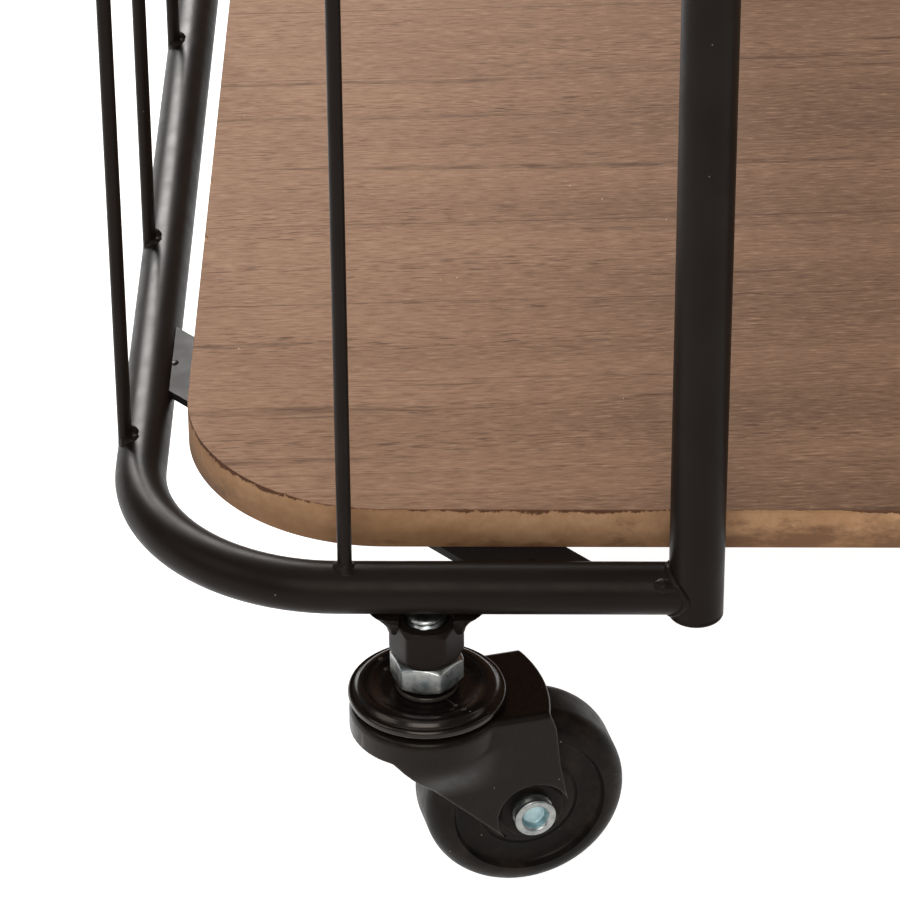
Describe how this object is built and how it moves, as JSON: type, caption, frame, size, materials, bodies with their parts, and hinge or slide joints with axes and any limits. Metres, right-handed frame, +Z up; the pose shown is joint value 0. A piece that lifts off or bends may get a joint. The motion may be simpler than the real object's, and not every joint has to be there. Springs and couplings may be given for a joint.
{
  "type": "bar cart",
  "caption": "Rolling bar cart: open end cages of bent black tube and thin upright wires carry veneered shelves above swivelling stem casters.",
  "frame": {"origin": "on the floor, under the middle of the cart", "axes": "+X along the cart's length, +Y to the back, +Z up"},
  "size_m": [0.75, 0.4494, 0.82],
  "materials": {
    "black_frame": "satin powder coat",
    "shelf_board": "walnut veneer on board, satin lacquer",
    "zinc_steel": "bright zinc plating",
    "race_cap": "gloss black",
    "wheel": "satin black"
  },
  "bodies": {
    "frame": {"left_bottom_rail": "black_frame", "left_middle_rail": "black_frame", "left_top_rail": "black_frame", "left_front_post": "black_frame", "left_rear_post": "black_frame", "left_lower_wires": "black_frame", "left_upper_wires": "black_frame", "left_bottom_braces": "black_frame", "left_top_braces": "black_frame", "right_bottom_rail": "black_frame", "right_middle_rail": "black_frame", "right_top_rail": "black_frame", "right_front_post": "black_frame", "right_rear_post": "black_frame", "right_lower_wires": "black_frame", "right_upper_wires": "black_frame", "right_bottom_braces": "black_frame", "right_top_braces": "black_frame", "bottom_shelf": "shelf_board", "top_shelf": "shelf_board", "shelf_screws": "zinc_steel", "post_caps": "black_frame", "front_guard_rail": "black_frame", "rear_guard_rail": "black_frame", "guard_bolts": "black_frame", "caster_lock_nuts": "zinc_steel", "upper_bearing_balls": "zinc_steel", "lower_bearing_balls": "zinc_steel", "front_left_socket": "black_frame", "front_left_stem": "zinc_steel", "front_left_race_cap": "race_cap", "rear_left_socket": "black_frame", "rear_left_stem": "zinc_steel", "rear_left_race_cap": "race_cap", "front_right_socket": "black_frame", "front_right_stem": "zinc_steel", "front_right_race_cap": "race_cap", "rear_right_socket": "black_frame", "rear_right_stem": "zinc_steel", "rear_right_race_cap": "race_cap"},
    "front_left_fork_body": {"front_left_fork": "black_frame", "front_left_axle_sleeve": "zinc_steel", "front_left_axle_rivet": "zinc_steel"},
    "front_left_wheel_body": {"front_left_wheel": "wheel"},
    "rear_left_fork_body": {"rear_left_fork": "black_frame", "rear_left_axle_sleeve": "zinc_steel", "rear_left_axle_rivet": "zinc_steel"},
    "rear_left_wheel_body": {"rear_left_wheel": "wheel"},
    "front_right_fork_body": {"front_right_fork": "black_frame", "front_right_axle_sleeve": "zinc_steel", "front_right_axle_rivet": "zinc_steel"},
    "front_right_wheel_body": {"front_right_wheel": "wheel"},
    "rear_right_fork_body": {"rear_right_fork": "black_frame", "rear_right_axle_sleeve": "zinc_steel", "rear_right_axle_rivet": "zinc_steel"},
    "rear_right_wheel_body": {"rear_right_wheel": "wheel"}
  },
  "joints": [
    {"name": "front_left_swivel", "type": "hinge", "parent": "frame", "child": "front_left_fork_body", "pos_m": [-0.29765, -0.20565, 0.0558], "axis": [0, 0, 1], "continuous": true},
    {"name": "front_left_roll", "type": "hinge", "parent": "front_left_fork_body", "child": "front_left_wheel_body", "pos_m": [-0.27549, -0.1995, 0.025], "axis": [-0.2672, 0.9636, 0], "continuous": true},
    {"name": "rear_left_swivel", "type": "hinge", "parent": "frame", "child": "rear_left_fork_body", "pos_m": [-0.29765, 0.20565, 0.0558], "axis": [0, 0, 1], "continuous": true},
    {"name": "rear_left_roll", "type": "hinge", "parent": "rear_left_fork_body", "child": "rear_left_wheel_body", "pos_m": [-0.27478, 0.20805, 0.025], "axis": [-0.1045, 0.9945, 0], "continuous": true},
    {"name": "front_right_swivel", "type": "hinge", "parent": "frame", "child": "front_right_fork_body", "pos_m": [0.29765, -0.20565, 0.0558], "axis": [0, 0, 1], "continuous": true},
    {"name": "front_right_roll", "type": "hinge", "parent": "front_right_fork_body", "child": "front_right_wheel_body", "pos_m": [0.32023, -0.20126, 0.025], "axis": [-0.1908, 0.9816, 0], "continuous": true},
    {"name": "rear_right_swivel", "type": "hinge", "parent": "frame", "child": "rear_right_fork_body", "pos_m": [0.29765, 0.20565, 0.0558], "axis": [0, 0, 1], "continuous": true},
    {"name": "rear_right_roll", "type": "hinge", "parent": "rear_right_fork_body", "child": "rear_right_wheel_body", "pos_m": [0.32062, 0.20685, 0.025], "axis": [-0.0523, 0.9986, 0], "continuous": true}
  ]
}
